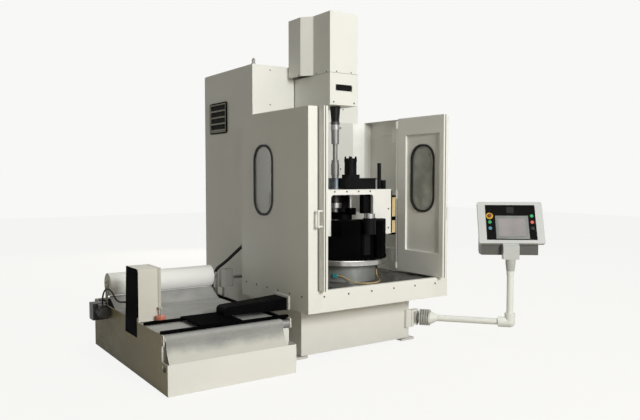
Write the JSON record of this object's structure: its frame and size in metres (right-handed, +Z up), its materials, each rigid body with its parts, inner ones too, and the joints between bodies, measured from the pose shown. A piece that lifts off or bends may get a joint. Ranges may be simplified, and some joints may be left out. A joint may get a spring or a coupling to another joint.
{
  "type": "vertical honing machine",
  "caption": "Vertical honing machine: enclosed stroking spindle over an index table, folding pocket doors, rear cabinet, swing-arm control panel and a paper-band coolant filter.",
  "frame": {"origin": "floor level, in the middle of the four anchor holes in the feet", "axes": "+Z up, the machine's front faces -Y, the filter stands on the -X side and the control panel on the +X side"},
  "size_m": [3.4443, 2.6691, 2.903],
  "materials": {
    "cream_paint": "semi-gloss",
    "white_paint": "semi-gloss",
    "foot_steel": "satin",
    "dark_plate": "matte",
    "window_glass": "clear",
    "black_rubber": "matte",
    "vent_plastic": "matte",
    "bright_steel": "turned",
    "gray_cast": "painted",
    "black_steel": "blackened",
    "abrasive": "gritty",
    "gray_paint": "satin",
    "black_paint": "satin",
    "blue_steel": "satin",
    "light_gray_paint": "satin",
    "dark_plastic": "satin",
    "red_plastic": "glossy",
    "green_plastic": "glossy",
    "blue_plastic": "glossy",
    "black_plastic": "satin",
    "filter_paper": "fibrous",
    "beige_paint": "satin",
    "pink_plastic": "matte",
    "motor_gray": "satin",
    "screw_steel": "dull",
    "tan_sheath": "satin"
  },
  "bodies": {
    "machine": {"base_pedestal": "cream_paint", "levelling_feet": "foot_steel", "coolant_tray": "cream_paint", "tray_floor_plates": "dark_plate", "left_wall_panel": "cream_paint", "right_wall_panel": "cream_paint", "wall_window_pane": "window_glass", "wall_window_seal": "black_rubber", "rear_splash_panel": "cream_paint", "cabinet_shell": "cream_paint", "cabinet_vent": "vent_plastic", "lifting_eyes": "bright_steel", "column": "gray_cast", "head_housing": "cream_paint", "head_cover": "cream_paint", "index_base": "gray_paint", "fixture_bridge": "white_paint", "fixture_housing": "black_paint", "gauge_post": "black_steel", "guide_bushing": "blue_steel", "clamp_cylinder": "black_steel", "filter_tank": "cream_paint", "filter_bed": "black_paint", "paper_web": "filter_paper", "drive_box": "beige_paint", "coolant_chute": "black_paint", "pump_unit": "light_gray_paint", "gear_motor": "motor_gray", "coolant_hose": "black_rubber", "drive_cable": "black_rubber", "sensor_lead": "tan_sheath", "panel_screws": "screw_steel"},
    "rear_door": {"cabinet_door": "cream_paint"},
    "quill": {"spindle_quill": "bright_steel"},
    "spindle": {"tool_holder": "black_steel", "honing_tool": "bright_steel", "honing_stones": "abrasive"},
    "index_table": {"index_disc": "bright_steel", "work_cups": "bright_steel"},
    "clamp": {"clamp_rod": "bright_steel"},
    "left_carriage": {"left_door_carriage": "cream_paint"},
    "left_door": {"left_door_leaf": "cream_paint", "left_door_pane": "window_glass", "left_door_seal": "black_rubber"},
    "right_carriage": {"right_door_carriage": "cream_paint"},
    "right_door": {"right_door_leaf": "cream_paint", "right_door_pane": "window_glass", "right_door_seal": "black_rubber"},
    "arm": {"pendant_arm": "light_gray_paint"},
    "panel": {"panel_bezel": "light_gray_paint", "panel_housing": "dark_plastic"},
    "stop_button": {"emergency_stop": "red_plastic"},
    "left_green": {"left_green_button": "green_plastic"},
    "left_blue": {"left_blue_button": "blue_plastic"},
    "right_green": {"right_green_button": "green_plastic"},
    "right_red": {"right_red_button": "red_plastic"},
    "selector": {"selector_switch": "black_plastic"},
    "roll": {"paper_roll": "filter_paper"},
    "roller": {"front_roller": "bright_steel"},
    "float": {"level_float": "pink_plastic"}
  },
  "joints": [
    {"name": "rear_door_swing", "type": "hinge", "parent": "machine", "child": "rear_door", "pos_m": [-0.579, 0.932, 1.45], "axis": [0, 0, 1], "range_deg": [0, 110]},
    {"name": "spindle_stroke", "type": "slide", "parent": "machine", "child": "quill", "axis": [0, 0, 1], "range_m": [-0.24, 0.1]},
    {"name": "spindle_spin", "type": "hinge", "parent": "quill", "child": "spindle", "pos_m": [0, -0.525, 2], "axis": [0, 0, 1], "continuous": true},
    {"name": "index_turn", "type": "hinge", "parent": "machine", "child": "index_table", "pos_m": [0, -0.69, 0.745], "axis": [0, 0, 1], "continuous": true},
    {"name": "clamp_stroke", "type": "slide", "parent": "machine", "child": "clamp", "axis": [0, 0, 1], "range_m": [-0.1, 0.03]},
    {"name": "left_door_slide", "type": "slide", "parent": "machine", "child": "left_carriage", "axis": [0, -1, 0], "range_m": [0, 0.508]},
    {"name": "left_door_swing", "type": "hinge", "parent": "left_carriage", "child": "left_door", "pos_m": [-0.614, -0.662, 1.318], "axis": [0, 0, 1], "range_deg": [0, 90.1]},
    {"name": "right_door_slide", "type": "slide", "parent": "machine", "child": "right_carriage", "axis": [0, -1, 0], "range_m": [0, 0.508]},
    {"name": "right_door_swing", "type": "hinge", "parent": "right_carriage", "child": "right_door", "pos_m": [0.614, -0.662, 1.318], "axis": [0, 0, -1], "range_deg": [0, 90.1]},
    {"name": "pendant_arm_swing", "type": "hinge", "parent": "machine", "child": "arm", "pos_m": [0.645, -0.884, 0.212], "axis": [0, 0, 1], "range_deg": [-40, 45]},
    {"name": "panel_swivel", "type": "hinge", "parent": "arm", "child": "panel", "pos_m": [1.175, -1.517, 0.791], "axis": [0, 0, 1], "range_deg": [-60, 60]},
    {"name": "emergency_stop_press", "type": "slide", "parent": "panel", "child": "stop_button", "axis": [0.558, 0.7142, -0.4226], "range_m": [0, 0.005], "stiffness_N_per_m": 900, "springref_m": -0.004},
    {"name": "left_green_press", "type": "slide", "parent": "panel", "child": "left_green", "axis": [0.558, 0.7142, -0.4226], "range_m": [0, 0.003], "stiffness_N_per_m": 700, "springref_m": -0.003},
    {"name": "left_blue_press", "type": "slide", "parent": "panel", "child": "left_blue", "axis": [0.558, 0.7142, -0.4226], "range_m": [0, 0.003], "stiffness_N_per_m": 700, "springref_m": -0.003},
    {"name": "right_green_press", "type": "slide", "parent": "panel", "child": "right_green", "axis": [0.558, 0.7142, -0.4226], "range_m": [0, 0.003], "stiffness_N_per_m": 700, "springref_m": -0.003},
    {"name": "right_red_press", "type": "slide", "parent": "panel", "child": "right_red", "axis": [0.558, 0.7142, -0.4226], "range_m": [0, 0.003], "stiffness_N_per_m": 700, "springref_m": -0.003},
    {"name": "selector_turn", "type": "hinge", "parent": "panel", "child": "selector", "pos_m": [1.35362, -1.60538, 1.03243], "axis": [-0.558, -0.7142, 0.4226], "range_deg": [-45, 45]},
    {"name": "paper_roll_spin", "type": "hinge", "parent": "machine", "child": "roll", "pos_m": [-1.333, 0.25, 0.578], "axis": [1, 0, 0], "continuous": true},
    {"name": "front_roller_spin", "type": "hinge", "parent": "machine", "child": "roller", "pos_m": [-1.305, -1.04, 0.366], "axis": [1, 0, 0], "continuous": true},
    {"name": "float_lift", "type": "slide", "parent": "machine", "child": "float", "axis": [0, 0, 1], "range_m": [0, 0.04]}
  ],
  "couplings": [
    {"joint": "left_door_swing", "follows": "left_door_slide", "rad_per_m": 3.0921},
    {"joint": "right_door_swing", "follows": "right_door_slide", "rad_per_m": 3.0921},
    {"joint": "front_roller_spin", "follows": "paper_roll_spin", "ratio": -3.1667}
  ]
}
